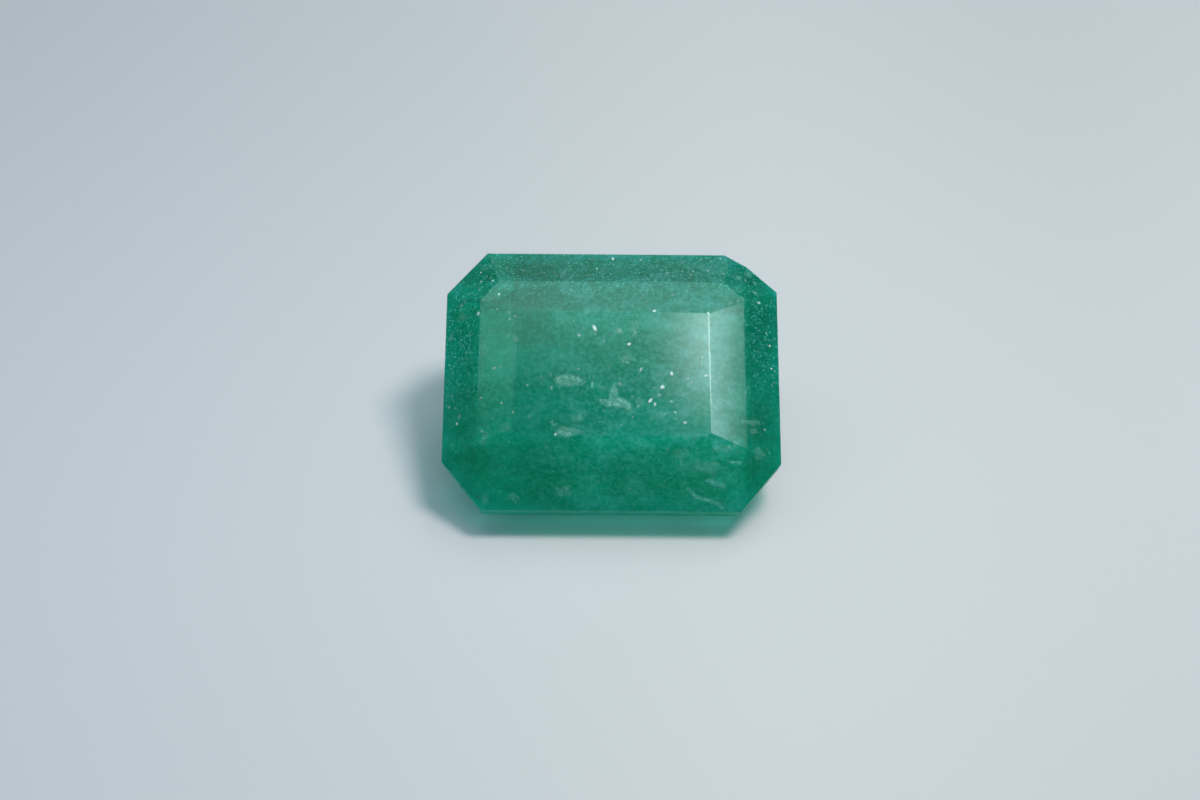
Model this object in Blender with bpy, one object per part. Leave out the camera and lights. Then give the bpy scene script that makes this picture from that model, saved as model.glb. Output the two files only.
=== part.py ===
"""A cut emerald: an octagonal step cut with a rectangular table, lying tipped on one long pavilion facet.

The stone is cut from a block with its table level, +Z through the table, +X along its length and its front
edge toward -Y. The girdle's upper edge is at z = 0. The finished stone is tipped forward onto the facet
between its keel and its front edge, as a loose stone lies, and set down on z = 0.
"""
import math

import bmesh
import bpy
from mathutils import Matrix, Vector

MM = 0.001

LENGTH = 14.0 * MM
WIDTH = 11.0 * MM
GIRDLE_HEIGHT = 1.05 * MM
LIE_ANGLE = 30.0  # degrees between the table and the facets beside the keel, so the stone leans by as much

# The faces round the girdle: the way each one faces, in degrees from +X toward +Y, and its distance from the
# stone's axis. The ends lean a little, so the stone is longer at its front edge. The back right corner was
# cut twice, and the second cut left a small extra face beside the back.
OUTLINE = {
    "front": {"kind": "side", "facing": -90.0, "distance": WIDTH / 2},
    "right_end": {"kind": "end", "facing": 0.8, "distance": LENGTH / 2},
    "back": {"kind": "side", "facing": 90.0, "distance": WIDTH / 2},
    "left_end": {"kind": "end", "facing": 179.2, "distance": LENGTH / 2},
    "front_right": {"kind": "corner", "facing": -39.5, "distance": 7.64 * MM},
    "front_left": {"kind": "corner", "facing": -140.5, "distance": 7.64 * MM},
    "back_left": {"kind": "corner", "facing": 137.0, "distance": 7.61 * MM},
    "back_right": {"kind": "corner", "facing": 49.0, "distance": 7.49 * MM},
    "back_right_extra": {"kind": "extra", "facing": 61.0, "distance": 7.11 * MM},
}

# Steps from the girdle up to the table: the height of each, and the angle of its facets to the table's plane,
# by kind or by name. The front left corner was cut flatter than the others.
CROWN_STEPS = (
    {"height": 0.95 * MM, "side": 33.0, "end": 33.0, "corner": 34.0, "front_left": 31.0, "extra": 41.0},
    {"height": 0.60 * MM, "side": 22.8, "end": 21.4, "corner": 21.2, "front_left": 23.4},
)

# Steps from the girdle down to the keel. The last has no height of its own: its facets run on until they meet.
PAVILION_STEPS = (
    {"height": 0.85 * MM, "side": 44.0, "end": 44.0, "corner": 42.8, "extra": 50.0},
    {"height": 1.02 * MM, "side": 37.0, "end": 37.0, "corner": 32.9},
    {"height": None, "side": LIE_ANGLE, "end": LIE_ANGLE, "corner": 25.6},
)

ROUGH_DEPTH = 6.0 * MM  # the block reaches this far below the girdle, which is past the keel
ON_PLANE = 0.002 * MM  # a point this close to a cut counts as on it

STONE_COLOUR = (0.010, 0.170, 0.090, 1.0)
STONE_ROUGHNESS = 0.06
STONE_IOR = 1.58
STONE_TRANSMISSION = 0.6


def clear_scene():
    for old in list(bpy.data.objects):
        bpy.data.objects.remove(old, do_unlink=True)


def stone_material():
    material = bpy.data.materials.new("cloudy_emerald")
    material.use_nodes = True
    shader = material.node_tree.nodes["Principled BSDF"]
    shader.inputs["Base Color"].default_value = STONE_COLOUR
    shader.inputs["Roughness"].default_value = STONE_ROUGHNESS
    shader.inputs["Metallic"].default_value = 0.0
    shader.inputs["IOR"].default_value = STONE_IOR
    shader.inputs["Transmission Weight"].default_value = STONE_TRANSMISSION
    return material


def rough_block(bm):
    """A block as long and wide as the stone, from the table's level down past the keel."""
    table_level = sum(step["height"] for step in CROWN_STEPS)
    height = table_level + ROUGH_DEPTH
    bmesh.ops.create_cube(bm, size=1.0)
    spare = 1.1  # the ends lean, so the block starts longer than the stone
    bmesh.ops.scale(bm, verts=bm.verts, vec=(LENGTH * spare, WIDTH * spare, height))
    bmesh.ops.translate(bm, verts=bm.verts, vec=(0.0, 0.0, table_level - height / 2))


def cut_facet(bm, facing, angle, distance, level):
    """Cuts one flat facet and throws away what lies outside it.

    The facet crosses the given level at the given distance from the axis. angle is its slope in degrees: at 90
    it stands upright, and above 90 it faces down.
    """
    around, lean = math.radians(facing), math.radians(angle)
    away = Vector((math.cos(around), math.sin(around), 0.0))
    normal = away * math.sin(lean) + Vector((0.0, 0.0, math.cos(lean)))
    point = away * distance + Vector((0.0, 0.0, level))
    everything = bm.verts[:] + bm.edges[:] + bm.faces[:]
    result = bmesh.ops.bisect_plane(
        bm, geom=everything, dist=ON_PLANE, plane_co=point, plane_no=normal, clear_outer=True
    )
    rim = [item for item in result["geom_cut"] if isinstance(item, bmesh.types.BMEdge)]
    if len(rim) > 2:
        bmesh.ops.contextual_create(bm, geom=rim)


def cut_steps(bm, steps, level, direction):
    """Cuts a stack of steps away from the girdle. direction is 1 for the crown and -1 for the pavilion."""
    distances = {name: face["distance"] for name, face in OUTLINE.items()}
    for step in steps:
        for name, face in OUTLINE.items():
            angle = step.get(name, step.get(face["kind"]))
            if angle is None:
                continue
            facet_angle = angle if direction > 0 else 180.0 - angle
            cut_facet(bm, face["facing"], facet_angle, distances[name], level)
            if step["height"] is not None:
                distances[name] -= step["height"] / math.tan(math.radians(angle))
        if step["height"] is not None:
            level += direction * step["height"]


def stone_mesh():
    bm = bmesh.new()
    rough_block(bm)
    for face in OUTLINE.values():
        cut_facet(bm, face["facing"], 90.0, face["distance"], 0.0)
    cut_steps(bm, CROWN_STEPS, 0.0, 1)
    cut_steps(bm, PAVILION_STEPS, -GIRDLE_HEIGHT, -1)
    bmesh.ops.recalc_face_normals(bm, faces=bm.faces)
    return bm


def lay_down(bm):
    """Tips the stone forward onto its facet and centres it over the origin, with that facet on z = 0."""
    bmesh.ops.rotate(bm, verts=bm.verts, matrix=Matrix.Rotation(math.radians(LIE_ANGLE), 3, "X"))
    low = [min(vert.co[axis] for vert in bm.verts) for axis in range(3)]
    high = [max(vert.co[axis] for vert in bm.verts) for axis in range(3)]
    centre = [(low[axis] + high[axis]) / 2 for axis in range(2)]
    bmesh.ops.translate(bm, verts=bm.verts, vec=(-centre[0], -centre[1], -low[2]))


def make_emerald():
    bm = stone_mesh()
    lay_down(bm)
    mesh = bpy.data.meshes.new("emerald")
    bm.to_mesh(mesh)
    bm.free()
    mesh.materials.append(stone_material())
    stone = bpy.data.objects.new("emerald", mesh)
    bpy.context.scene.collection.objects.link(stone)
    return stone


clear_scene()
make_emerald()
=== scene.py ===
import math
import random

import bmesh
import bpy
from mathutils import Matrix, Vector, noise
from mathutils.bvhtree import BVHTree


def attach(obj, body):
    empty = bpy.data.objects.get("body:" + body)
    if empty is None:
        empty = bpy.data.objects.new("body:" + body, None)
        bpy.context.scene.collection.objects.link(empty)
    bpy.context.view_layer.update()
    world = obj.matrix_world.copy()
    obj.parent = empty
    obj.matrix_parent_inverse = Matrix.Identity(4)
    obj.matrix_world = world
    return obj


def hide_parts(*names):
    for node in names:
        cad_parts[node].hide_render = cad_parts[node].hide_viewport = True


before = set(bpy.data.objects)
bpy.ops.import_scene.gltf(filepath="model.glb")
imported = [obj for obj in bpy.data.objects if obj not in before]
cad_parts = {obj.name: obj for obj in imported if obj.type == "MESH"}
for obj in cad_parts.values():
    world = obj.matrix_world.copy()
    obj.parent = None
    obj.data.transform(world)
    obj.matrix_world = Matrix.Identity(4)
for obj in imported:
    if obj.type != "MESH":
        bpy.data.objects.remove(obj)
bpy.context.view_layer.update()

mm = 0.001
scene = bpy.context.scene
scene.view_settings.view_transform = "Standard"
scene.view_settings.look = "None"


# Node helpers

def newMaterial(name):
    material = bpy.data.materials.new(name)
    material.use_nodes = True
    material.node_tree.nodes.clear()
    return material


def addNode(tree, kind, **values):  # a value sets the node's property of that name, or else its socket
    node = tree.nodes.new(kind)
    for key, value in values.items():
        if hasattr(node, key):
            setattr(node, key, value)
        else:
            node.inputs[key.replace("_", " ")].default_value = value
    return node


def link(tree, source, target):
    tree.links.new(source, target)


def feed(tree, socket, value):  # a link from another node, or a plain value
    if isinstance(value, bpy.types.NodeSocket):
        link(tree, value, socket)
    else:
        socket.default_value = value


def mathNode(tree, operation, first, second=0.0, clamp=False):
    node = addNode(tree, "ShaderNodeMath", operation=operation, use_clamp=clamp)
    feed(tree, node.inputs[0], first)
    feed(tree, node.inputs[1], second)
    return node.outputs["Value"]


def times(tree, first, second):
    return mathNode(tree, "MULTIPLY", first, second)


def plus(tree, first, second, clamp=False):
    return mathNode(tree, "ADD", first, second, clamp)


def rangeNode(tree, value, fromLow, fromHigh, toLow=0.0, toHigh=1.0):
    node = addNode(tree, "ShaderNodeMapRange", interpolation_type="SMOOTHSTEP")
    link(tree, value, node.inputs["Value"])
    feed(tree, node.inputs["From Min"], fromLow)
    feed(tree, node.inputs["From Max"], fromHigh)
    feed(tree, node.inputs["To Min"], toLow)
    feed(tree, node.inputs["To Max"], toHigh)
    return node.outputs["Result"]


def mixColour(tree, factor, first, second):
    node = addNode(tree, "ShaderNodeMix", data_type="RGBA")
    feed(tree, node.inputs[0], factor)
    feed(tree, node.inputs[6], first)
    feed(tree, node.inputs[7], second)
    return node.outputs[2]


def scaleColour(tree, colour, gain):
    node = addNode(tree, "ShaderNodeVectorMath", operation="SCALE")
    link(tree, colour, node.inputs[0])
    link(tree, gain, node.inputs["Scale"])
    return node.outputs["Vector"]


def splitVector(tree, vector):
    node = addNode(tree, "ShaderNodeSeparateXYZ")
    link(tree, vector, node.inputs["Vector"])
    return node.outputs


def showSurface(tree, surface):
    end = addNode(tree, "ShaderNodeOutputMaterial")
    link(tree, surface, end.inputs["Surface"])
    return end


def newGroup(name, inputs, outputs):
    tree = bpy.data.node_groups.new(name, "ShaderNodeTree")
    for label, kind, value in inputs:
        socket = tree.interface.new_socket(name=label, in_out="INPUT", socket_type=kind)
        if value is not None:
            socket.default_value = value
    for label in outputs:
        tree.interface.new_socket(name=label, in_out="OUTPUT", socket_type="NodeSocketFloat")
    return tree, tree.nodes.new("NodeGroupInput"), tree.nodes.new("NodeGroupOutput")


def placeGroup(tree, group, vector, values):
    node = tree.nodes.new("ShaderNodeGroup")
    node.node_tree = group
    link(tree, vector, node.inputs["Vector"])
    for key, value in values.items():
        node.inputs[key].default_value = value
    return node


# Shared effects: clouds of four sizes, and tiny pale and dark grains

cloudRoughness = 0.6
# Name, stretched or not, how much finer, detail, twist, and the noise where it starts and is full
cloudLayers = (
    ("Veil", True, 1.0, 3.0, 0.8, 0.40, 0.66),
    ("Puffs", True, 5.0, 2.0, 0.7, 0.40, 0.76),
    ("Tufts", False, 17.0, 1.0, 0.3, 0.36, 0.78),
    ("Grain", False, 40.0, 1.0, 0.0, 0.36, 0.80),
)
grainLayers = (("Pale", 0.0), ("Dark", 7.3))  # name, and a shift that keeps the two apart
grainEdge = 0.12  # how softly a grain ends


def buildCloudGroup():
    tree, start, end = newGroup(
        "crystalClouds",
        [
            ("Vector", "NodeSocketVector", None),
            ("Scale", "NodeSocketFloat", 0.3),
            ("Stretch", "NodeSocketFloat", 0.55),
        ],
        [layer[0] for layer in cloudLayers],
    )
    squeeze = addNode(tree, "ShaderNodeCombineXYZ", Y=1.0, Z=1.0)
    link(tree, start.outputs["Stretch"], squeeze.inputs["X"])
    across = addNode(tree, "ShaderNodeVectorMath", operation="MULTIPLY")
    link(tree, start.outputs["Vector"], across.inputs[0])
    link(tree, squeeze.outputs["Vector"], across.inputs[1])
    for label, stretched, finer, detail, twist, low, high in cloudLayers:
        cloud = addNode(tree, "ShaderNodeTexNoise", Detail=detail, Roughness=cloudRoughness, Distortion=twist)
        link(tree, across.outputs["Vector"] if stretched else start.outputs["Vector"], cloud.inputs["Vector"])
        link(tree, times(tree, start.outputs["Scale"], finer), cloud.inputs["Scale"])
        link(tree, rangeNode(tree, cloud.outputs["Fac"], low, high), end.inputs[label])
    return tree


def buildGrainGroup():
    tree, start, end = newGroup(
        "crystalGrains",
        [
            ("Vector", "NodeSocketVector", None),
            ("Scale", "NodeSocketFloat", 3.0),
            ("Amount", "NodeSocketFloat", 0.5),
            ("Size", "NodeSocketFloat", 0.4),
        ],
        [label for label, shift in grainLayers],
    )
    for label, shift in grainLayers:
        moved = addNode(tree, "ShaderNodeVectorMath", operation="ADD")
        moved.inputs[1].default_value = (shift, shift, shift)
        link(tree, start.outputs["Vector"], moved.inputs[0])
        cells = addNode(tree, "ShaderNodeTexVoronoi", feature="F1")
        link(tree, moved.outputs[0], cells.inputs["Vector"])
        link(tree, start.outputs["Scale"], cells.inputs["Scale"])
        tone = addNode(tree, "ShaderNodeSeparateColor")
        link(tree, cells.outputs["Color"], tone.inputs["Color"])
        chosen = mathNode(tree, "LESS_THAN", tone.outputs["Red"], start.outputs["Amount"])
        reach = times(tree, tone.outputs["Green"], start.outputs["Size"])
        edge = mathNode(tree, "SUBTRACT", reach, cells.outputs["Distance"])
        grain = times(tree, rangeNode(tree, edge, 0.0, grainEdge), chosen)
        link(tree, times(tree, grain, tone.outputs["Blue"]), end.inputs[label])
    return tree


cloudGroup = buildCloudGroup()
grainGroup = buildGrainGroup()
print("shared effects built")


# The stone's own axes: from the middle of its table, across it, up it and out of it

leanAngle = math.radians(30.0)
tableCentre = Vector((0.0, -1.014, 5.518)) * mm
tableUp = Vector((0.0, math.cos(leanAngle), math.sin(leanAngle)))
tableOut = Vector((0.0, -math.sin(leanAngle), math.cos(leanAngle)))


def stoneVector(tree):  # the place in the stone, in millimetres along its own axes
    place = addNode(tree, "ShaderNodeTexCoord")
    level = addNode(tree, "ShaderNodeMapping", vector_type="POINT")
    untilt = Matrix.Rotation(-leanAngle, 3, "X")
    level.inputs["Scale"].default_value = (1 / mm, 1 / mm, 1 / mm)
    level.inputs["Rotation"].default_value = (-leanAngle, 0.0, 0.0)
    level.inputs["Location"].default_value = -(untilt @ tableCentre) / mm
    link(tree, place.outputs["Object"], level.inputs["Vector"])
    return level.outputs["Vector"]


# The stone: a reach is from and to in millimetres along one of its own axes, X across, Y up and Z out

stoneSettings = {
    "edgeWear": 0.035 * mm,  # width of the softened facet edges
    "edgeSteps": 2,
    "edgeProfile": 0.5,
    "sameFacet": 0.3,  # degrees between triangles of one facet
    "weld": 0.001 * mm,
    "deepGreen": (0.001, 0.320, 0.180, 1.0),
    "brightGreen": (0.001, 0.570, 0.370, 1.0),
    "milkyGreen": (0.130, 0.605, 0.510, 1.0),
    "paleGrain": (0.160, 0.750, 0.690, 1.0),
    "darkGrain": (0.001, 0.260, 0.165, 1.0),
    "clouds": {"Scale": 0.30, "Stretch": 0.55},
    "grains": {"Scale": 12.0, "Amount": 0.70, "Size": 0.75},
    "brightening": {"Veil": 0.33, "Puffs": 0.11, "Tufts": 0.23},  # of each cloud in the green itself
    "milk": {"Puffs": 0.38, "Tufts": 0.34, "Grain": 0.11},
    "milkZones": (  # thinner or thicker milk: axis, reach, and its gain at each end
        ("Y", -5.2, -1.5, 0.40, 0.95),
        ("X", -4.0, -1.0, 0.35, 1.0),
        ("X", 1.0, 3.5, 1.0, 1.25),
        ("X", 4.6, 5.8, 1.0, 0.25),
    ),
    "grainyBack": (2.8, 4.2, 0.12, 1.0),  # where the grains lie: reach, and how many at each end
    "grainyEnds": (4.9, 5.9),
    "grainyEndsBack": (-3.0, 1.5),
    "grainyCrown": (-3.2, -1.7, 0.30, 1.0),  # fewer of them under the girdle
    "paintedShadeZones": (  # painted light and shade, paler or deeper where the lamps fall less or more on the facets: axis, reach, and the colour's gain at each end
        ("Y", -4.30, -3.80, 1.13, 1.00),
        ("Y", -2.85, -2.40, 1.20, 1.00),
        ("Y", 0.00, 2.40, 1.00, 0.94),
        ("Y", 2.40, 2.85, 1.00, 0.82),
        ("Y", 3.80, 4.30, 1.00, 0.74),
        ("X", 3.00, 5.00, 1.00, 0.94),
        ("X", 5.20, 5.85, 1.00, 0.74),
        ("X", -3.50, -1.00, 0.88, 1.00),
        ("X", -5.85, -5.20, 0.84, 1.00),
        ("Z", -2.60, -1.70, 1.10, 1.00),
    ),
    "paintedLightParts": (  # painted light on the facet left of the table and on the back corners: reach across, reach up, and gain
        (-3.90, -4.30, -3.30, -2.40, 1.20),
        (-5.20, -5.85, 2.40, 3.20, 1.26),
        (5.20, 5.85, 2.40, 3.20, 1.10),
    ),
    "ior": 1.58,
    "transmission": 0.5,
    "scatterReach": (1.00 * mm, 8.00 * mm, 6.00 * mm),  # of red, green and blue
    "absorption": (0.08, 0.33, 0.34, 1.0),
    "absorptionDensity": 400.0,
    "shadowTint": (0.32, 0.69, 0.62, 1.0),  # of the lamplight that falls through
    "endTint": (0.32, 0.58, 0.61, 1.0),  # and of what falls through the left end
    "endReach": (-5.2, -2.2),
    "rimTint": (-5.5, -4.7, 0.92, 1.07),  # paler away from the front edge
    "polishRoughness": 0.07,
    "girdleRoughness": 0.38,
    "girdleHeights": (-2.60, -1.55),
    "polishLines": {"Scale": 9.0, "Detail": 3.0},
    "polishBump": {"Strength": 0.02, "Distance": 0.01 * mm},
}


def crystalColour(tree, vector, where):
    look = stoneSettings
    clouds = placeGroup(tree, cloudGroup, vector, look["clouds"]).outputs
    grains = placeGroup(tree, grainGroup, vector, look["grains"]).outputs
    bright, milk = 0.0, 0.0
    for label, amount in look["brightening"].items():
        bright = plus(tree, times(tree, clouds[label], amount), bright)
    for label, amount in look["milk"].items():
        milk = plus(tree, times(tree, clouds[label], amount), milk, clamp=True)
    for axis, start, end, before, after in look["milkZones"]:
        milk = times(tree, rangeNode(tree, where[axis], start, end, before, after), milk)
    body = mixColour(tree, bright, look["deepGreen"], look["brightGreen"])
    body = mixColour(tree, milk, body, look["milkyGreen"])

    aside = rangeNode(tree, mathNode(tree, "ABSOLUTE", where["X"]), *look["grainyEnds"])
    aside = times(tree, aside, rangeNode(tree, where["Y"], *look["grainyEndsBack"]))
    grainy = mathNode(tree, "MAXIMUM", aside, rangeNode(tree, where["Y"], *look["grainyBack"]))
    grainy = times(tree, grainy, rangeNode(tree, where["Z"], *look["grainyCrown"]))
    body = mixColour(tree, times(tree, grains["Dark"], grainy), body, look["darkGrain"])
    body = mixColour(tree, times(tree, grains["Pale"], grainy), body, look["paleGrain"])

    # Painted light and shade: the body's colour made paler or deeper, facet by facet, to even out the
    # lamplight
    gain = 1.0
    for axis, start, end, before, after in look["paintedShadeZones"]:
        gain = times(tree, rangeNode(tree, where[axis], start, end, before, after), gain)
    for *reach, raised in look["paintedLightParts"]:
        inside = rangeNode(tree, where["X"], *reach[:2])
        inside = times(tree, rangeNode(tree, where["Y"], *reach[2:]), inside)
        gain = times(tree, rangeNode(tree, inside, 0.0, 1.0, 1.0, raised), gain)
    return scaleColour(tree, body, gain)


def crystalMaterial(name):
    look = stoneSettings
    material = newMaterial(name)
    tree = material.node_tree
    vector = stoneVector(tree)
    where = splitVector(tree, vector)
    shader = addNode(tree, "ShaderNodeBsdfPrincipled", subsurface_method="RANDOM_WALK")
    link(tree, crystalColour(tree, vector, where), shader.inputs["Base Color"])
    low, high = look["girdleHeights"]
    overGirdle = mathNode(tree, "GREATER_THAN", where["Z"], low)
    onGirdle = times(tree, overGirdle, mathNode(tree, "LESS_THAN", where["Z"], high))
    extra = times(tree, onGirdle, look["girdleRoughness"] - look["polishRoughness"])
    link(tree, plus(tree, extra, look["polishRoughness"]), shader.inputs["Roughness"])
    shader.inputs["IOR"].default_value = look["ior"]
    shader.inputs["Transmission Weight"].default_value = look["transmission"]
    shader.inputs["Subsurface Weight"].default_value = 1.0
    shader.inputs["Subsurface Radius"].default_value = look["scatterReach"]
    shader.inputs["Subsurface Scale"].default_value = 1.0

    lines = addNode(tree, "ShaderNodeTexNoise", **look["polishLines"])
    link(tree, vector, lines.inputs["Vector"])
    bump = addNode(tree, "ShaderNodeBump", **look["polishBump"])
    link(tree, lines.outputs["Fac"], bump.inputs["Height"])
    link(tree, bump.outputs["Normal"], shader.inputs["Normal"])

    endward = rangeNode(tree, where["X"], *look["endReach"])
    tint = mixColour(tree, endward, look["endTint"], look["shadowTint"])
    tint = scaleColour(tree, tint, rangeNode(tree, where["Y"], *look["rimTint"]))
    lampsThrough = addNode(tree, "ShaderNodeBsdfTransparent")  # so the lamps light the paper under the stone
    link(tree, tint, lampsThrough.inputs["Color"])
    rays = addNode(tree, "ShaderNodeLightPath")
    either = addNode(tree, "ShaderNodeMixShader")
    link(tree, rays.outputs["Is Shadow Ray"], either.inputs["Fac"])
    link(tree, shader.outputs["BSDF"], either.inputs[1])
    link(tree, lampsThrough.outputs["BSDF"], either.inputs[2])
    absorb = addNode(tree, "ShaderNodeVolumeAbsorption")
    absorb.inputs["Color"].default_value = look["absorption"]
    absorb.inputs["Density"].default_value = look["absorptionDensity"]
    end = showSurface(tree, either.outputs["Shader"])
    link(tree, absorb.outputs["Volume"], end.inputs["Volume"])
    return material


def keepFacetsFlat(mesh, wornFaces):  # the softened edges blend from facet to facet and the facets stay flat
    owner = {}
    for polygon in mesh.polygons:
        if polygon.index not in wornFaces:
            for corner in polygon.vertices:
                owner[corner] = polygon.normal.copy()
    blended = {}
    for polygon in mesh.polygons:
        for corner in polygon.vertices:
            blended[corner] = blended.get(corner, Vector()) + polygon.normal
    normals = []
    for polygon in mesh.polygons:
        for corner in polygon.vertices:
            if polygon.index not in wornFaces:
                normals.append(polygon.normal.copy())
            else:
                normals.append(owner.get(corner, blended[corner]).normalized())
    mesh.normals_split_custom_set(normals)


def makeStone():
    settings = stoneSettings
    bm = bmesh.new()
    bm.from_mesh(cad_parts["emerald"].data)
    bmesh.ops.remove_doubles(bm, verts=bm.verts, dist=settings["weld"])
    sameFacet = math.radians(settings["sameFacet"])
    bmesh.ops.dissolve_limit(bm, angle_limit=sameFacet, verts=bm.verts, edges=bm.edges)
    bmesh.ops.recalc_face_normals(bm, faces=bm.faces)
    surface = BVHTree.FromBMesh(bm)
    facets = [[corner.co.copy() for corner in face.verts] for face in bm.faces]
    print("facets:", len(bm.faces))
    worn = bmesh.ops.bevel(
        bm, geom=bm.edges[:], offset=settings["edgeWear"], offset_type="OFFSET",
        segments=settings["edgeSteps"], profile=settings["edgeProfile"], affect="EDGES",
        clamp_overlap=True, material=-1,
    )
    bm.faces.index_update()
    wornFaces = {face.index for face in worn["faces"]}
    for face in bm.faces:
        face.smooth = True
    mesh = bpy.data.meshes.new("emerald_stone")
    bm.to_mesh(mesh)
    bm.free()
    mesh.materials.append(crystalMaterial("emeraldCrystal"))
    keepFacetsFlat(mesh, wornFaces)
    stone = bpy.data.objects.new("emerald_stone", mesh)
    scene.collection.objects.link(stone)
    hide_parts("emerald")
    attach(stone, "root")
    return surface, facets


stoneSurface, stoneFacets = makeStone()
print("stone made")


# Flaws that reach the polish: places are millimetres across and up from the middle of the table. Each listed
# flaw was picked out in the photo, and its place was turned into these by way of the fitted camera.

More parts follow.
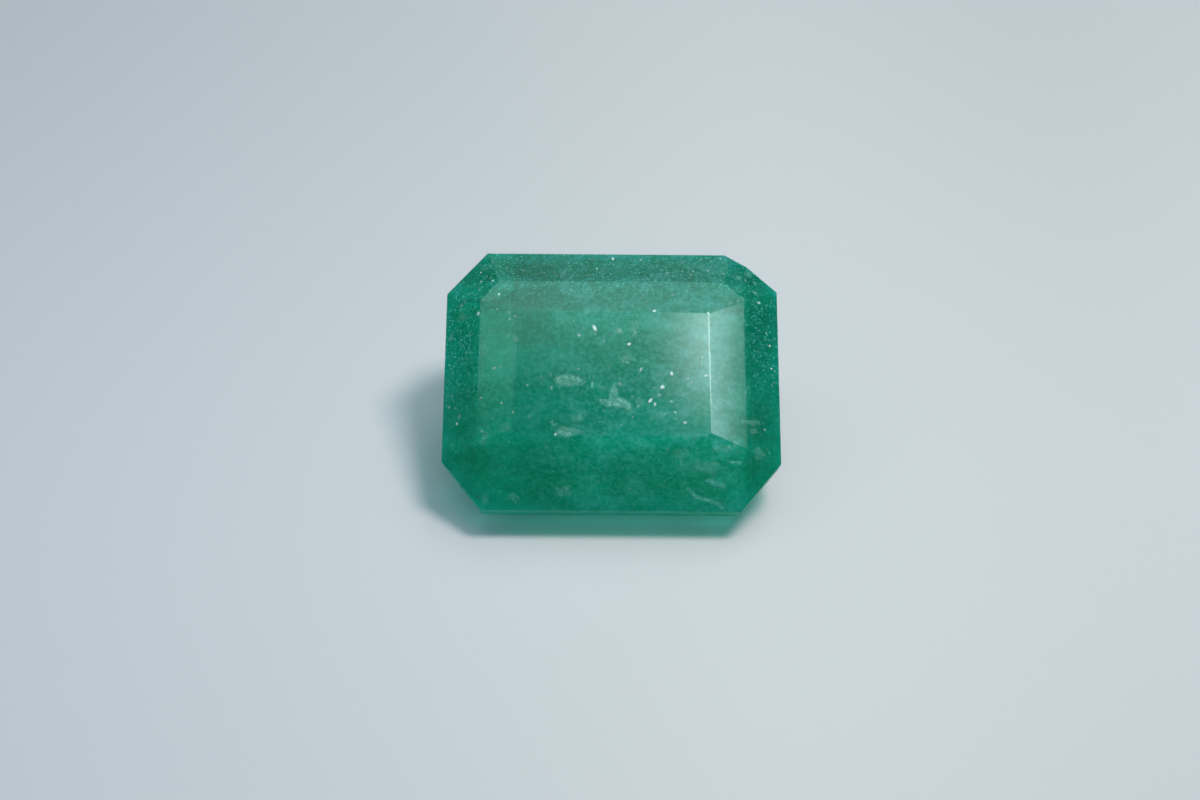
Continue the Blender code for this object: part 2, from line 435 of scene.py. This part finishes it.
flaws = {
    "seed": 41,
    "lift": 0.0015 * mm,  # how far the thin patches stand off the polish
    "castFrom": 3.0 * mm,  # over the table, to find the crown below a place
    "leastAcross": 0.2,  # how little of the way across a facet may keep
    "flakeSides": 7,
    "flakeLongest": 1.4,
    "flakeWobble": (0.75, 1.15),
    "flakeRings": ((0.55, 0.7, 0.9), (1.0, 0.0, 0.0)),  # radius, height and strength, as shares of the whole
    "flakeRise": (0.08, 0.006 * mm),  # share of its width, and the most
    "sparkleReach": 1.6,  # the whole flake, faint rim and all, for each unit of its bright width
    "veilStep": 0.045,  # millimetres between the points of a veil's sheet
    "veilMargin": 0.8,  # how far the sheet reaches from a patch's middle, in lengths of the patch
    "veilEnd": 4.0,  # squared distance from the middle, in half widths, past which a veil has ended
    "veilFull": 0.7,  # how far in from its rim it is full
    "veilWander": ((1.3, 3.0, 0.0), (0.9, 9.0, 4.0)),  # unevenness of the rim: amount, fineness and layer
    "faintest": 0.01,
    "sparkles": [  # pale specks, the brightest of them painted glints: across, up, width, brightness
        (-5.52, 4.54, 0.07, 0.8), (-5.49, 4.09, 0.09, 0.6), (-4.99, 4.05, 0.10, 0.5),
        (-4.72, 3.39, 0.09, 1.0), (-5.57, 2.62, 0.15, 0.8), (-4.77, 2.72, 0.07, 0.6),
        (-4.97, 2.73, 0.06, 0.5), (-4.04, 2.37, 0.07, 0.6), (-0.74, 1.88, 0.17, 1.0),
        (-0.73, 1.64, 0.07, 0.4), (0.03, 5.22, 0.14, 0.8), (-0.66, 4.68, 0.09, 0.4),
        (1.73, 2.63, 0.11, 1.0), (0.68, 1.21, 0.13, 0.8), (1.17, 0.14, 0.12, 0.6),
        (2.43, -0.02, 0.13, 1.0), (2.05, -0.58, 0.15, 1.0), (3.10, -0.22, 0.09, 0.6),
        (3.22, -0.39, 0.09, 0.5), (3.83, -0.09, 0.12, 0.9), (4.01, 4.62, 0.08, 0.5),
        (3.38, 4.59, 0.07, 0.5), (2.92, 4.61, 0.07, 0.5), (4.56, 5.28, 0.07, 0.6),
        (4.64, 4.48, 0.07, 0.5), (6.14, 3.26, 0.12, 0.6), (6.44, 2.00, 0.07, 0.6),
        (6.59, 1.48, 0.10, 0.6), (6.66, 0.51, 0.08, 0.8), (6.79, 0.43, 0.06, 0.5),
        (1.56, -1.16, 0.14, 0.9), (1.75, -1.30, 0.11, 0.7), (1.92, -0.92, 0.09, 0.5),
        (2.97, -2.06, 0.12, 0.7), (-4.53, -1.26, 0.08, 0.6), (-4.85, 0.24, 0.08, 0.6),
        (-4.58, 0.27, 0.06, 0.5), (-6.40, -1.96, 0.09, 0.8), (-6.32, -1.74, 0.06, 0.5),
        (-5.38, -0.98, 0.07, 0.5), (-4.05, -1.68, 0.08, 0.5), (-2.32, -2.59, 0.09, 0.6),
        (0.30, -0.46, 0.08, 0.5), (2.43, -1.19, 0.09, 0.4), (2.58, -1.64, 0.08, 0.4),
        (6.32, -2.13, 0.08, 0.5), (2.49, 3.40, 0.07, 0.4), (-3.48, -0.54, 0.07, 0.4),
    ],
    "hazes": [  # across, up, length, height, strength
        (-1.78, -0.34, 1.40, 0.60, 0.80), (0.03, -0.88, 0.50, 0.65, 0.75),
        (0.32, -1.29, 0.85, 0.60, 1.00), (-0.13, -1.31, 0.50, 0.45, 0.80),
        (0.62, -1.41, 0.50, 0.45, 0.90), (-1.94, -2.45, 1.00, 0.50, 0.75),
        (-0.41, -0.64, 0.40, 0.22, 0.32), (-0.37, -2.55, 0.32, 0.22, 0.35),
        (1.09, -1.23, 0.50, 0.50, 0.32), (-1.42, -1.96, 0.50, 0.50, 0.26),
        (-6.26, 2.59, 0.34, 0.22, 0.35), (-6.71, 1.78, 0.20, 0.35, 0.32),
        (-4.00, 1.37, 0.34, 0.22, 0.42), (-5.29, 4.76, 0.55, 0.40, 0.24),
        (-5.11, 3.25, 0.80, 0.22, 0.28), (0.94, 1.98, 0.45, 0.60, 0.42),
        (0.22, 1.76, 0.50, 0.45, 0.38), (0.59, 0.68, 0.60, 0.50, 0.46),
        (5.28, 4.38, 0.36, 0.30, 0.35), (5.70, 4.59, 0.34, 0.26, 0.35),
        (5.37, 3.71, 0.25, 0.30, 0.28), (-5.19, -2.59, 0.34, 0.55, 0.32),
        (-4.33, -2.32, 0.55, 0.40, 0.24), (1.94, -1.79, 0.70, 0.30, 0.34),
        (4.54, -3.05, 0.80, 0.45, 0.39), (3.97, -3.79, 1.30, 0.60, 0.42),
        (5.99, -3.18, 0.45, 0.65, 0.39), (5.57, -1.91, 0.90, 0.25, 0.49),
        (5.81, -2.25, 0.45, 0.30, 0.42), (-4.10, -4.96, 0.45, 0.40, 0.39),
        (-5.15, -5.15, 0.40, 0.35, 0.35), (-1.92, -4.80, 0.70, 0.35, 0.35),
        (5.05, -2.85, 0.30, 0.45, 0.42), (2.85, -3.30, 0.70, 0.45, 0.35),
        (3.34, -2.69, 0.26, 0.20, 0.42), (-2.10, 4.42, 0.50, 0.25, 0.24),
    ],
    "threads": [  # width, strength and the points that each runs through
        (0.17, 0.81, ((3.18, -4.66), (3.42, -4.91), (3.83, -5.04), (4.25, -5.14), (4.61, -5.36))),
        (0.17, 0.77, ((3.92, -4.31), (4.24, -4.40), (4.64, -4.52))),
        (0.14, 0.59, ((-2.28, -4.64), (-2.03, -4.75), (-1.74, -4.90))),
        (0.12, 0.51, ((-2.03, -4.62), (-1.70, -4.60))),
        (0.06, 0.59, ((3.80, 0.69), (3.64, 0.63), (3.58, 0.46), (3.66, 0.29), (3.80, 0.27))),
        (0.07, 0.51, ((0.86, 4.04), (1.15, 4.12))),
        (0.09, 0.51, ((1.63, -0.60), (1.87, -0.61))),
        (0.07, 0.47, ((1.83, -0.07), (2.20, -0.05))),
        (0.10, 0.42, ((-5.29, -2.38), (-5.22, -2.80))),
        (0.12, 0.64, ((5.34, -1.94), (5.86, -1.86))),
        (0.12, 0.64, ((4.88, -3.59), (5.30, -3.59))),
        (0.14, 0.47, ((1.58, -1.90), (2.24, -1.67))),
        (0.13, 0.51, ((2.62, -3.43), (3.06, -3.16))),
    ],
    "cracks": [  # width, darkness and points
        (0.20, 0.85, (
            (-6.36, 3.10), (-6.05, 3.24), (-5.56, 3.19), (-4.96, 3.11), (-4.48, 3.21), (-4.13, 3.33),
        )),
    ],
    "darkSpots": [  # across, up, width, darkness
        (-6.15, -4.50, 0.16, 0.7), (-5.49, -4.98, 0.17, 0.9), (5.62, -4.15, 0.15, 0.5),
        (6.00, -4.29, 0.15, 0.5), (0.54, -4.89, 0.14, 0.3), (2.74, 1.88, 0.09, 0.4),
        (0.94, 1.39, 0.12, 0.3), (1.41, 1.63, 0.09, 0.3), (2.88, 4.77, 0.14, 0.5),
        (-3.59, 5.26, 0.12, 0.6), (-4.32, 4.19, 0.12, 0.4), (0.15, 5.17, 0.16, 0.5),
        (-4.43, 4.85, 0.12, 0.5),
    ],
    "scattered": (1000, (0.06, 0.12), (0.04, 0.34)),  # more small sparkles: how many, widths and strengths
    "softSpots": (170, (0.14, 0.26), (0.06, 0.30)),  # the same, wider and fainter
    "fewBright": 2.2,  # how much rarer the bright ones are
    "crowding": 0.18,  # how thick they lie everywhere, and how much more in the places below
    "crowdedBelt": (0.55, 0.9, 0.45, 1.1, 4.5),  # how much, height, slope, width and half length
    "crowdedBack": (0.8, 2.6, 2.0),  # how much, where it begins and how soon it is full
    "crowdedEnds": (0.3, 4.6, 1.5),
    # the pale specks' colour, which also paints glints on the brightest of them
    "speckAndGlintColour": (0.46, 0.62, 0.60, 1.0),
    "paleRoughness": 0.25,
    "hazeColour": (0.20, 0.43, 0.36, 1.0),
    "frontColour": (0.15, 0.54, 0.46, 1.0),  # of both toward the front, painted to suit the lesser light that falls there
    "frontReach": (-4.4, -2.4),
    "darkColour": (0.004, 0.060, 0.035, 1.0),
    "darkRoughness": 0.20,
    "tuftColour": (0.02, 0.42, 0.28, 1.0),  # the stone's green, which mottles them
    "tuftShare": 0.25,
    "clouds": {"Scale": 0.9, "Stretch": 0.8},
    "patches": (  # cloud, where it starts and is full, and how much of the veil shows at each
        ("Puffs", 0.05, 0.55, 0.50, 1.0),
        ("Tufts", 0.05, 0.90, 0.62, 0.95),
    ),
}


def onStone(across, up):  # the spot on the crown at a place across and up, and the way it faces
    start = tableCentre + Vector((across * mm, 0.0, 0.0)) + tableUp * (up * mm) + tableOut * flaws["castFrom"]
    spot, normal, *others = stoneSurface.ray_cast(start, -tableOut)
    return spot, normal


def sideways(normal):  # two directions along the polish, the first as straight across as it can be
    across = Vector((1.0, 0.0, 0.0)) - normal * normal.x
    if across.length < flaws["leastAcross"]:
        across = Vector((0.0, 1.0, 0.0)) - normal * normal.y
    across.normalize()
    return across, normal.cross(across)


def addFlake(bm, fade, spot, normal, width, strength, dice):  # a low bump with an uneven rim that fades out
    across, up = sideways(normal)
    turn = dice.uniform(0.0, math.tau)
    long = dice.uniform(1.0, flaws["flakeLongest"])
    sides = flaws["flakeSides"]
    wobble = [dice.uniform(*flaws["flakeWobble"]) for side in range(sides)]
    steepness, highest = flaws["flakeRise"]
    rise = min(width * steepness, highest)
    rings = []
    for radius, height, share in flaws["flakeRings"]:
        ring = []
        for side in range(sides):
            angle = math.tau * side / sides
            reach = radius * wobble[side] * width / 2
            along, over = math.cos(angle) * reach * long, math.sin(angle) * reach / long
            point = spot + across * (along * math.cos(turn) - over * math.sin(turn))
            point += up * (along * math.sin(turn) + over * math.cos(turn))
            vert = bm.verts.new(point + normal * (flaws["lift"] + height * rise))
            vert[fade] = strength * share
            ring.append(vert)
        rings.append(ring)
    tip = bm.verts.new(spot + normal * (flaws["lift"] + rise))
    tip[fade] = strength
    inner, outer = rings
    for side in range(sides):
        after = (side + 1) % sides
        bm.faces.new((inner[side], inner[after], tip))
        bm.faces.new((outer[side], outer[after], inner[after], inner[side]))


def distanceToPath(across, up, points):
    nearest = math.inf
    place = Vector((across, up))
    for first, second in zip(points, points[1:]):
        start, run = Vector(first), Vector(second) - Vector(first)
        share = min(max((place - start).dot(run) / run.length_squared, 0.0), 1.0)
        nearest = min(nearest, (place - start - run * share).length)
    return nearest


def faded(share, strength):  # soft at the rim and even in the middle
    share = min(max(share / flaws["veilFull"], 0.0), 1.0)
    return strength * share * share * (3.0 - 2.0 * share)


def veilAmount(across, up, patches, threads):  # how thick the veil is at a place
    wander = 1.0
    for amount, fineness, layer in flaws["veilWander"]:
        wander += amount * noise.noise(Vector((across, up, layer)) * fineness)
    thickest = 0.0
    for middle, rise, length, height, strength in patches:
        away = (2.0 * (across - middle) / length) ** 2 + (2.0 * (up - rise) / height) ** 2
        if away < flaws["veilEnd"]:
            thickest = max(thickest, faded(1.0 - away * wander, strength))
    for width, strength, points in threads:
        away = (2.0 * distanceToPath(across, up, points) / width) ** 2
        if away < flaws["veilEnd"]:
            thickest = max(thickest, faded(1.0 - away * wander, strength))
    return thickest


def stepsAcross(middle, length):  # the columns or rows of a sheet that a patch reaches
    step, margin = flaws["veilStep"], flaws["veilMargin"] * length
    return range(math.floor((middle - margin) / step), math.ceil((middle + margin) / step))


def addVeil(bm, fade, patches, threads):  # a thin sheet on the polish, wherever the veil shows
    step = flaws["veilStep"]
    spots = [(across, up, length, height) for across, up, length, height, strength in patches]
    for width, strength, points in threads:
        for (across, up), (nextAcross, nextUp) in zip(points, points[1:]):
            length, height = abs(across - nextAcross) + 2 * width, abs(up - nextUp) + 2 * width
            spots.append(((across + nextAcross) / 2, (up + nextUp) / 2, length, height))
    cells = set()
    for across, up, length, height in spots:
        rows = stepsAcross(up, height)
        cells.update((column, row) for column in stepsAcross(across, length) for row in rows)
    corners = {}
    for column, row in sorted(cells):
        square = []
        for place in ((column, row), (column + 1, row), (column + 1, row + 1), (column, row + 1)):
            if place not in corners:
                across, up = place[0] * step, place[1] * step
                spot, normal = onStone(across, up)
                vert = None
                if spot is not None:
                    vert = bm.verts.new(spot + normal * flaws["lift"])
                    vert[fade] = veilAmount(across, up, patches, threads)
                corners[place] = vert
            square.append(corners[place])
        if None not in square and max(vert[fade] for vert in square) > flaws["faintest"]:
            bm.faces.new(square)
    bmesh.ops.delete(bm, geom=[vert for vert in bm.verts if not vert.link_faces], context="VERTS")


def flawMaterial(name, colour, frontColour, roughness, patchy):
    material = newMaterial(name)
    tree = material.node_tree
    vector = stoneVector(tree)
    strength = addNode(tree, "ShaderNodeAttribute", attribute_name="fade", attribute_type="GEOMETRY")
    shader = addNode(tree, "ShaderNodeBsdfPrincipled")
    shader.inputs["IOR"].default_value = stoneSettings["ior"]
    shader.inputs["Roughness"].default_value = roughness
    clouds = placeGroup(tree, cloudGroup, vector, flaws["clouds"]).outputs
    upward = rangeNode(tree, splitVector(tree, vector)["Y"], *flaws["frontReach"])
    body = mixColour(tree, upward, frontColour, colour)
    tufts = times(tree, clouds["Tufts"], flaws["tuftShare"])
    link(tree, mixColour(tree, tufts, body, flaws["tuftColour"]), shader.inputs["Base Color"])
    alpha = strength.outputs["Fac"]
    if patchy:
        for label, *reach in flaws["patches"]:
            alpha = times(tree, alpha, rangeNode(tree, clouds[label], *reach))
    link(tree, alpha, shader.inputs["Alpha"])
    showSurface(tree, shader.outputs["BSDF"])
    return material


def finishFlaws(bm, name, material):
    bmesh.ops.recalc_face_normals(bm, faces=bm.faces)
    mesh = bpy.data.meshes.new(name)
    bm.to_mesh(mesh)
    bm.free()
    mesh.materials.append(material)
    piece = bpy.data.objects.new(name, mesh)
    scene.collection.objects.link(piece)
    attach(piece, "root")
    print(name, "faces:", len(mesh.polygons))


def newFlaws():
    bm = bmesh.new()
    return bm, bm.verts.layers.float.new("fade")


def crowding(spot):  # how thick the small sparkles lie at a spot
    across = spot.x / mm
    up = (spot - tableCentre).dot(tableUp) / mm
    amount, height, slope, width, halfLength = flaws["crowdedBelt"]
    belt = math.exp(-((up - height + slope * across) / width) ** 2) if abs(across) < halfLength else 0.0
    thickness = flaws["crowding"] + amount * belt
    for value, (amount, begin, span) in ((up, flaws["crowdedBack"]), (abs(across), flaws["crowdedEnds"])):
        thickness += amount * min(max((value - begin) / span, 0.0), 1.0)
    return thickness


def scatterPlaces(count, dice):
    triangles, shares = [], []
    for corners in stoneFacets:
        for first, second in zip(corners[1:], corners[2:]):
            triangles.append((corners[0], first, second))
            shares.append((first - corners[0]).cross(second - corners[0]).length)
    places = []
    while len(places) < count:
        a, b, c = dice.choices(triangles, shares)[0]
        low, high = sorted((dice.random(), dice.random()))
        spot = a * low + b * (high - low) + c * (1.0 - high)
        normal = (b - a).cross(c - a).normalized()
        if dice.random() < crowding(spot):
            places.append((spot, normal))
    return places


# Pale specks on the polish; the brightest stand for glints, painted as pale colour
def makeSparkles():
    dice = random.Random(flaws["seed"])
    bm, fade = newFlaws()
    for across, up, width, strength in flaws["sparkles"]:
        spot, normal = onStone(across, up)
        addFlake(bm, fade, spot, normal, width * flaws["sparkleReach"] * mm, strength, dice)
    for count, widths, (faintest, strongest) in (flaws["scattered"], flaws["softSpots"]):
        for spot, normal in scatterPlaces(count, dice):
            strength = faintest + (strongest - faintest) * dice.random() ** flaws["fewBright"]
            addFlake(bm, fade, spot, normal, dice.uniform(*widths) * mm, strength, dice)
    pale, front = flaws["speckAndGlintColour"], flaws["frontColour"]
    material = flawMaterial("paleSpecksAndGlints", pale, front, flaws["paleRoughness"], patchy=False)
    finishFlaws(bm, "sparkle_flakes", material)


def makeVeils():
    bm, fade = newFlaws()
    addVeil(bm, fade, flaws["hazes"], flaws["threads"])
    haze, front = flaws["hazeColour"], flaws["frontColour"]
    material = flawMaterial("milkyVeil", haze, front, stoneSettings["polishRoughness"], patchy=True)
    finishFlaws(bm, "milky_veils", material)


def makeDarkFlaws():
    bm, fade = newFlaws()
    spots = [(across, up, width, width, darkness) for across, up, width, darkness in flaws["darkSpots"]]
    addVeil(bm, fade, spots, flaws["cracks"])
    dark = flaws["darkColour"]
    material = flawMaterial("darkCrystal", dark, dark, flaws["darkRoughness"], patchy=True)
    finishFlaws(bm, "dark_flaws", material)


makeSparkles()
makeVeils()
makeDarkFlaws()
print("flaws laid in")


# The paper it lies on, with painted shade that darkens it a little toward the back and the right, and a
# painted bluer light toward the left

floorSettings = {
    "size": 2.0,
    "drop": 0.005 * mm,  # how far it lies below the stone
    "colour": (0.456, 0.437, 0.428, 1.0),
    # a painted bluer light on the paper's left side
    "paintedLeftTint": (0.438, 0.437, 0.442, 1.0),
    "leftReach": (-28.0 * mm, 6.0 * mm),
    "paintedShadeBehind": (-10.0 * mm, 36.0 * mm, 0.980, 0.835),  # painted shade: from and to, and the colour's gain at each
    "paintedShadeRight": (4.0 * mm, 26.0 * mm, 1.00, 0.88),
    "roughness": 0.85,
    "specular": 0.2,
}


def paperMaterial(name):
    look = floorSettings
    material = newMaterial(name)
    tree = material.node_tree
    place = addNode(tree, "ShaderNodeTexCoord")
    where = splitVector(tree, place.outputs["Object"])
    # painted shade toward the back and right, and painted bluer light toward the left
    gain = rangeNode(tree, where["Y"], *look["paintedShadeBehind"])
    gain = times(tree, gain, rangeNode(tree, where["X"], *look["paintedShadeRight"]))
    rightward = rangeNode(tree, where["X"], *look["leftReach"])
    toned = scaleColour(tree, mixColour(tree, rightward, look["paintedLeftTint"], look["colour"]), gain)
    shader = addNode(tree, "ShaderNodeBsdfPrincipled", Roughness=look["roughness"])
    link(tree, toned, shader.inputs["Base Color"])
    shader.inputs["Specular IOR Level"].default_value = look["specular"]
    showSurface(tree, shader.outputs["BSDF"])
    return material


def makeFloor():
    bm = bmesh.new()
    bmesh.ops.create_grid(bm, x_segments=1, y_segments=1, size=floorSettings["size"] / 2)
    mesh = bpy.data.meshes.new("paper_floor")
    bm.to_mesh(mesh)
    bm.free()
    mesh.materials.append(paperMaterial("palePaper"))
    floor = bpy.data.objects.new("paper_floor", mesh)
    floor.location.z = -floorSettings["drop"]
    scene.collection.objects.link(floor)


makeFloor()
print("floor laid")


# Light: a soft box overhead, a little to the right and behind; broad dim lights that nothing mirrors, which
# fill the shadow; and a dim ceiling with a pale strip on its front edge, which only the polish mirrors.
# Spans are how far right of overhead and behind it a thing reaches, for each unit of height.

studio = {
    "boxHeight": 0.15,
    "boxRight": (0.190, 0.600),
    "boxBehind": (0.030, 0.285),
    "boxRadiance": 58.0,
    "colour": (0.80, 0.93, 1.0),
    "room": 0.036,  # seen and mirrored from all round
    "horizon": 0.02,  # the lowest height that a span is worked out from
    "fill": 0.04,  # from all round, and never mirrored
    "broadLights": (  # radiance, then where each begins, is full, fades and ends, to the right and behind
        (4.3, (-0.35, -0.15, 0.10, 0.30), (-0.05, 0.05, 0.20, 0.35)),
        (1.0, (-1.20, -0.90, -0.35, -0.15), (-0.10, 0.10, 0.50, 0.90)),
        (0.7, (-9.00, -8.00, -1.40, -0.90), (-9.00, -8.00, 8.00, 9.00)),
        (5.7, (0.00, 0.20, 0.60, 0.80), (0.35, 0.60, 0.90, 1.30)),
    ),
    "ceiling": 1.25,
    "ceilingLow": (0.50, 0.82),  # heights, from 0 level to 1 overhead
    "ceilingRight": (0.02, 0.30),  # it fades to the right, except
    "ceilingBehind": (-0.10, 0.30),  # behind these
    "ceilingFront": (-0.335, -0.270),
    "frontCurve": 0.08,
    "strip": (10.4, 13.6, 6.8),  # radiance at its left end, its middle and its right end
    "stripLeftPart": (0.07, 0.20),  # from the left end's radiance to the middle's
    "stripRightPart": (0.50, 0.95),
    "stripLeft": (0.036, 0.086),
    "stripRight": (0.930, 0.985),
    "stripRightSlant": 0.4,
    "stripBack": (-0.30, -0.24),
    "stripBackSlant": 0.16,
    "stripFront": (-0.355, -0.300),
}


def makeSoftBox():
    height = studio["boxHeight"]
    left, right = studio["boxRight"]
    near, far = studio["boxBehind"]
    light = bpy.data.lights.new("softBox", "AREA")
    light.shape = "ELLIPSE"
    light.size = (right - left) * height
    light.size_y = (far - near) * height
    light.energy = studio["boxRadiance"] * math.pi * light.size * light.size_y * math.pi / 4
    light.color = studio["colour"]
    lamp = bpy.data.objects.new("softBox", light)
    lamp.location = ((left + right) / 2 * height, (near + far) / 2 * height, height)
    scene.collection.objects.link(lamp)


def ceilingGlow(tree, upward, right, behind):
    bow = times(tree, times(tree, right, right), studio["frontCurve"])
    glow = times(tree, rangeNode(tree, upward, *studio["ceilingLow"]), studio["ceiling"])
    fromFront = mathNode(tree, "SUBTRACT", behind, bow)
    glow = times(tree, glow, rangeNode(tree, fromFront, *studio["ceilingFront"]))
    farBehind = rangeNode(tree, behind, *studio["ceilingBehind"])
    return times(tree, glow, rangeNode(tree, right, *studio["ceilingRight"], 1.0, farBehind))


def stripGlow(tree, right, behind):
    leftEnd, middle, rightEnd = studio["strip"]
    glow = rangeNode(tree, right, *studio["stripLeftPart"], leftEnd, middle)
    glow = rangeNode(tree, right, *studio["stripRightPart"], glow, rightEnd)
    glow = times(tree, glow, rangeNode(tree, right, *studio["stripLeft"]))
    slantedRight = plus(tree, right, times(tree, behind, studio["stripRightSlant"]))
    glow = times(tree, glow, rangeNode(tree, slantedRight, *studio["stripRight"], 1.0, 0.0))
    slantedBack = mathNode(tree, "SUBTRACT", behind, times(tree, right, studio["stripBackSlant"]))
    glow = times(tree, glow, rangeNode(tree, slantedBack, *studio["stripBack"], 1.0, 0.0))
    return times(tree, glow, rangeNode(tree, behind, *studio["stripFront"]))


def fillGlow(tree, right, behind):
    fill = studio["fill"]
    for glow, rightReach, behindReach in studio["broadLights"]:
        for value, reach in ((right, rightReach), (behind, behindReach)):
            glow = times(tree, rangeNode(tree, value, *reach[:2]), glow)
            glow = times(tree, rangeNode(tree, value, *reach[2:], 1.0, 0.0), glow)
        fill = plus(tree, glow, fill)
    return fill


def makeRoom():
    world = bpy.data.worlds.new("softStudio")
    scene.world = world
    world.use_nodes = True
    tree = world.node_tree
    tree.nodes.clear()
    way = splitVector(tree, addNode(tree, "ShaderNodeTexCoord").outputs["Generated"])
    height = mathNode(tree, "MAXIMUM", way["Z"], studio["horizon"])
    right = mathNode(tree, "DIVIDE", way["X"], height)
    behind = mathNode(tree, "DIVIDE", way["Y"], height)
    glossy = addNode(tree, "ShaderNodeLightPath").outputs["Is Glossy Ray"]
    mirrored = plus(tree, ceilingGlow(tree, way["Z"], right, behind), stripGlow(tree, right, behind))
    mirrored = times(tree, mirrored, glossy)
    unmirrored = times(tree, fillGlow(tree, right, behind), mathNode(tree, "SUBTRACT", 1.0, glossy))
    background = addNode(tree, "ShaderNodeBackground", Color=(*studio["colour"], 1.0))
    lit = plus(tree, plus(tree, unmirrored, mirrored), studio["room"])
    link(tree, lit, background.inputs["Strength"])
    end = addNode(tree, "ShaderNodeOutputWorld")
    link(tree, background.outputs["Background"], end.inputs["Surface"])


makeSoftBox()
makeRoom()
print("light set")


# Camera, at the photograph's angle

cameraSettings = {
    "lens": 60.0,
    "sensor": 36.0,
    "nearest": 1.0 * mm,
    "farthest": 10.0,
    "azimuth": -0.794,  # degrees round the stone from straight in front
    "elevation": 48.415,
    "roll": 1.005,
    "aim": Vector((-0.480, -0.303, 3.025)) * mm,
    "distance": 84.356 * mm,
}


def makeCamera():
    settings = cameraSettings
    lens = bpy.data.cameras.new("camera")
    lens.lens = settings["lens"]
    lens.sensor_width = settings["sensor"]
    lens.clip_start = settings["nearest"]
    lens.clip_end = settings["farthest"]
    camera = bpy.data.objects.new("camera", lens)
    scene.collection.objects.link(camera)
    turn = Matrix.Rotation(math.radians(settings["azimuth"]), 4, "Z")
    tilt = Matrix.Rotation(math.radians(90.0 - settings["elevation"]), 4, "X")
    roll = Matrix.Rotation(math.radians(settings["roll"]), 4, "Z")
    back = Matrix.Translation((0.0, 0.0, settings["distance"]))
    camera.matrix_world = Matrix.Translation(settings["aim"]) @ turn @ tilt @ back @ roll
    scene.camera = camera


makeCamera()
print("camera placed")
